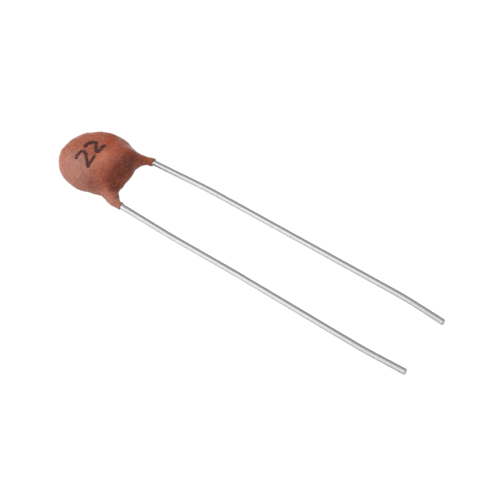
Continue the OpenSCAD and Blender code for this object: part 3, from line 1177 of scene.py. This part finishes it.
@dataclass(frozen=True)
class Softbox:
    """A rectangular soft panel, aimed at the part, that lights it or is only mirrored in it.

    Attributes:
        name: Its name.
        azimuth: Where it stands round the part, in degrees from +X towards +Y.
        elevation: Angle above the floor that it stands at.
        length: Its length, level with the floor, in metres.
        width: Its width.
        glow: Radiance of its face.
        mirrored: Whether it is only mirrored in shiny surfaces and throws no light on matt ones.
        distance: How far from the part it stands, in metres.
    """

    name: str
    azimuth: float
    elevation: float
    length: float
    width: float
    glow: float
    mirrored: bool = False
    distance: float = 0.85

    def build(self) -> bpy.types.Object:
        """Sets the light up and returns it."""
        data = bpy.data.lights.new(self.name, "AREA")
        data.shape = "RECTANGLE"
        data.size = self.length
        data.size_y = self.width
        data.energy = self.glow * math.pi * self.length * self.width
        lamp = add_object(self.name, data)
        turn, rise = math.radians(self.azimuth), math.radians(self.elevation)
        level = math.cos(rise)
        way = Vector((math.cos(turn) * level, math.sin(turn) * level, math.sin(rise)))
        lamp.location = way * self.distance
        lamp.rotation_mode = "QUATERNION"
        lamp.rotation_quaternion = way.to_track_quat("Z", "Y")
        lamp.visible_camera = False
        lamp.visible_diffuse = not self.mirrored
        lamp.visible_glossy = self.mirrored
        return lamp


@dataclass(frozen=True)
class Studio:
    """Pale floor, soft lights, strips to mirror along the wires and dim surroundings.

    Attributes:
        floor_half: Half the width of the floor, in metres.
        sheet_drop: How far below the part the white sheet that is seen lies, in millimetres.
        board_drop: How far below it the matt board that throws light back lies.
        contact_shadow: How far round what rests on it the sheet is greyer with painted contact
            shadow, in millimetres.
        contact_shadow_tone: How bright the sheet still is right under it, in that painted shadow.
        board_glow: Radiance of the board itself.
        board_shade: How far round the part the board is shaded, in millimetres.
        sheet_tones: Two greys that the sheet clouds between.
        board_tones: Two greys that the board clouds between.
        shaded_tone: Grey of the board where it is shaded.
        cloud: Size of those clouds, in millimetres.
        surroundings: Strength of the light from all round.
        softboxes: The panels that light the part.
        strips: The strips that the wires mirror, as degrees up from the +X side over the top and
            radiance.
        strip_size: Length and width of a strip, in metres.
        strip_top: Highest elevation of a strip, in degrees.
    """

    floor_half: float = 1.5
    sheet_drop: float = 0.02
    board_drop: float = 0.03
    contact_shadow: float = 0.11
    contact_shadow_tone: float = 0.6
    board_glow: float = 0.04
    board_shade: float = 0.6
    sheet_tones: tuple[Colour, Colour] = ((0.02, 0.02, 0.02), (0.03, 0.03, 0.03))
    board_tones: tuple[Colour, Colour] = ((0.78, 0.78, 0.78), (0.82, 0.82, 0.82))
    shaded_tone: Colour = (0.1, 0.1, 0.1)
    cloud: float = 40.0
    surroundings: float = 0.13
    softboxes: tuple[Softbox, ...] = (
        Softbox("back", 98.0, 38.0, 0.6, 0.4, 1.5),
        Softbox("back_right", 72.0, 38.0, 0.5, 0.4, 3.8),
        Softbox("back_low", 98.0, 15.0, 0.6, 0.3, 3.5),
        Softbox("right", 45.0, 50.0, 0.4, 0.4, 2.1),
        Softbox("side", 168.0, 15.0, 0.6, 0.35, 2.55),
        Softbox("near", 215.0, 50.0, 0.45, 0.4, 2.1),
        Softbox("near_low", 200.0, 6.0, 0.7, 0.25, 0.9),
        Softbox("front_low", 285.0, 6.0, 0.7, 0.25, 0.9),
    )
    strips: tuple[tuple[int, float], ...] = (
        (30, 0.10), (50, 0.22), (70, 0.22), (90, 0.28), (110, 0.56), (130, 0.85), (150, 0.88),
        (170, 0.85),
    )
    strip_size: tuple[float, float] = (2.0, 0.27)
    strip_top: float = 89.0

    def build(self) -> None:
        """Sets the floor, the lights and the surroundings up."""
        self._sheet()
        self._board()
        for panel in (*self.softboxes, *(self._strip(*strip) for strip in self.strips)):
            panel.build()
        world = bpy.data.worlds.new("surroundings")
        world.use_nodes = True
        background = world.node_tree.nodes["Background"]
        background.inputs["Color"].default_value = (*WHITE, 1.0)
        background.inputs["Strength"].default_value = self.surroundings
        bpy.context.scene.world = world
        bpy.context.scene.view_settings.view_transform = "Standard"

    def _strip(self, angle: int, glow: float) -> Softbox:
        """A strip that the wires mirror.

        Args:
            angle: Degrees up from the +X side, over the top.
            glow: Its radiance.

        Returns:
            The strip as a softbox, level and along Y.
        """
        azimuth = 0.0 if angle <= 90 else 180.0
        elevation = min(float(angle), 180.0 - angle, self.strip_top)
        return Softbox(f"strip_{angle}", azimuth, elevation, *self.strip_size, glow, mirrored=True)

    def _plane(self, name: str, drop: float) -> bpy.types.Object:
        """Adds a level sheet under the part.

        Args:
            name: Its name.
            drop: How far below the part it lies, in millimetres.

        Returns:
            The sheet.
        """
        bpy.ops.object.select_all(action="DESELECT")
        bpy.ops.mesh.primitive_plane_add(size=2 * self.floor_half, location=(0.0, 0.0, -drop * MM))
        plane = bpy.context.active_object
        plane.name = name
        return plane

    def _sheet(self) -> None:
        """Lays the glowing white sheet that is seen, with a painted contact shadow close under what
        rests on it.
        """
        sheet = self._plane("studio_floor", self.sheet_drop)
        recipe = Recipe("pale_floor")
        clouds = recipe.noise(recipe.bench_place(), self.cloud)
        # Painted contact shadow: the sheet's glow drops close to what rests on it
        shade = recipe.node("AmbientOcclusion", {"samples": 16}, Distance=self.contact_shadow * MM)
        glow = recipe.node("MapRange", Value=shade.outputs["AO"], To_Min=self.contact_shadow_tone)
        sheet.data.materials.append(recipe.finish(
            Base_Color=recipe.mix(clouds, *self.sheet_tones), Roughness=0.9,
            Emission_Color=WHITE, Emission_Strength=glow.outputs["Result"],
        ))
        sheet.visible_diffuse = sheet.visible_glossy = False
        sheet.visible_shadow = sheet.visible_transmission = False

    def _board(self) -> None:
        """Lays the matt board that throws light back at the part from below, less under it."""
        board = self._plane("studio_board", self.board_drop)
        recipe = Recipe("matt_board")
        clouds = recipe.noise(recipe.bench_place(), self.cloud)
        shade = recipe.node("AmbientOcclusion", {"samples": 8}, Distance=self.board_shade * MM)
        lit = recipe.ramp(shade.outputs["AO"], 0.3, 1.0)
        tone = recipe.mix(clouds, *self.board_tones)
        board.data.materials.append(recipe.finish(
            Base_Color=recipe.mix(lit, self.shaded_tone, tone), Roughness=0.9,
            Emission_Color=WHITE,
            Emission_Strength=recipe.calc("MULTIPLY", lit, self.board_glow),
        ))
        board.visible_camera = False


# ---- The part ----

RIGHT_SETS = ((2.91, 8.5), (2.76, 26.65), (2.45, 30.25))
LEFT_SETS = ((2.94, 9.0), (3.04, 15.0), (3.48, 26.95), (3.40, 30.55))


def dress_inside() -> None:
    """Gives the CAD nodes inside the coat their finishes."""
    finishes = {
        "ceramic_disc": (TitanateCeramic(), "titanate"),
        "front_electrode": (FiredSilver(), "fired_silver"),
        "back_electrode": (FiredSilver(), "fired_silver"),
        "front_solder": (SolderedTin(), "solder"),
        "back_solder": (SolderedTin(), "solder"),
    }
    for node, (finish, slot) in finishes.items():
        piece = frame["nodes"][node]
        piece.data.materials.clear()
        piece.data.materials.append(finish.material())
        log.info("%s: CAD node dressed as %s", node, slot)


def main() -> None:
    """Builds the part's pieces in order, then the studio round them."""
    logging.basicConfig(level=logging.INFO, format="%(name)s: %(message)s")
    tin = TinnedWire().material()
    leads = [Lead(Side.RIGHT, RIGHT_SETS), Lead(Side.LEFT, LEFT_SETS)]
    wires = [lead.build() for lead in leads]
    coat = Coat().build(wires)
    for lead in leads:
        lead.piece.data.materials.append(tin)
        set_down(lead.piece, "tinned_wire", f"{lead.side.value}_lead")
    coat.data.materials.append(DippedResin().material())
    set_down(coat, "resin_coat", "coating")
    dress_inside()
    Studio().build()
    Viewpoint().build()


if __name__ == "__main__":
    main()
